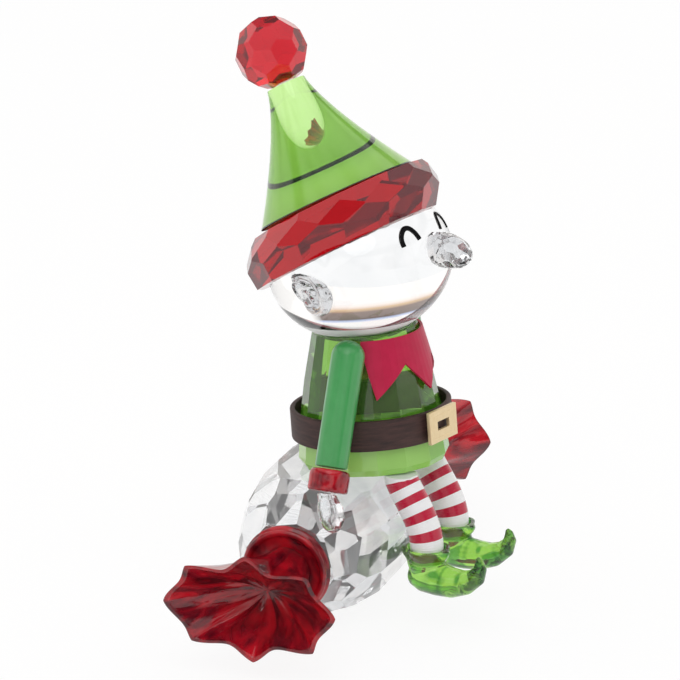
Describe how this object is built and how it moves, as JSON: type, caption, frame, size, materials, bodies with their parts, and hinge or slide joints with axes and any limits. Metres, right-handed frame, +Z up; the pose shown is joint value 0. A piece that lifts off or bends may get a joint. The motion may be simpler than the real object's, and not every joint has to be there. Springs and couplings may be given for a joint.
{
  "type": "elf figurine",
  "caption": "Cut-crystal Christmas elf figurine with a tall hat and curled shoes, seated on a wrapped sweet that rests on a flat facet.",
  "frame": {"origin": "on the sweet's resting facet, straight below the sweet's centre", "axes": "+Z up; the elf faces -Y; +X is the elf's left; the sweet lies along X, turned 17.4 degrees towards +Y"},
  "size_m": [0.1, 0.0635, 0.0995],
  "materials": {
    "clear_crystal": "polished clear crystal",
    "ruby_crystal": "polished ruby crystal",
    "lime_crystal": "polished lime crystal",
    "green_crystal": "polished deep green crystal",
    "green_lacquer": "satin lacquer",
    "striped_lacquer": "gloss lacquer in red and white bands",
    "red_lacquer": "satin lacquer",
    "dark_belt": "matt grained lacquer",
    "pale_gold": "pale gold plating"
  },
  "bodies": {
    "root": {"candy_body": "clear_crystal", "head": "clear_crystal", "nose": "clear_crystal", "ear_right": "clear_crystal", "ear_left": "clear_crystal", "hand_right": "clear_crystal", "hand_left": "clear_crystal", "wrapper_knot_right": "ruby_crystal", "wrapper_knot_left": "ruby_crystal", "wrapper_fan_right": "ruby_crystal", "wrapper_fan_left": "ruby_crystal", "cuff_right": "ruby_crystal", "cuff_left": "ruby_crystal", "hat_brim": "ruby_crystal", "pom_ball": "ruby_crystal", "hat_cone": "lime_crystal", "shoe_right": "lime_crystal", "shoe_left": "lime_crystal", "tunic": "green_crystal", "arm_right": "green_lacquer", "arm_left": "green_lacquer", "leg_right": "striped_lacquer", "leg_left": "striped_lacquer", "collar": "red_lacquer", "belt": "dark_belt", "buckle": "pale_gold"}
  },
  "joints": []
}
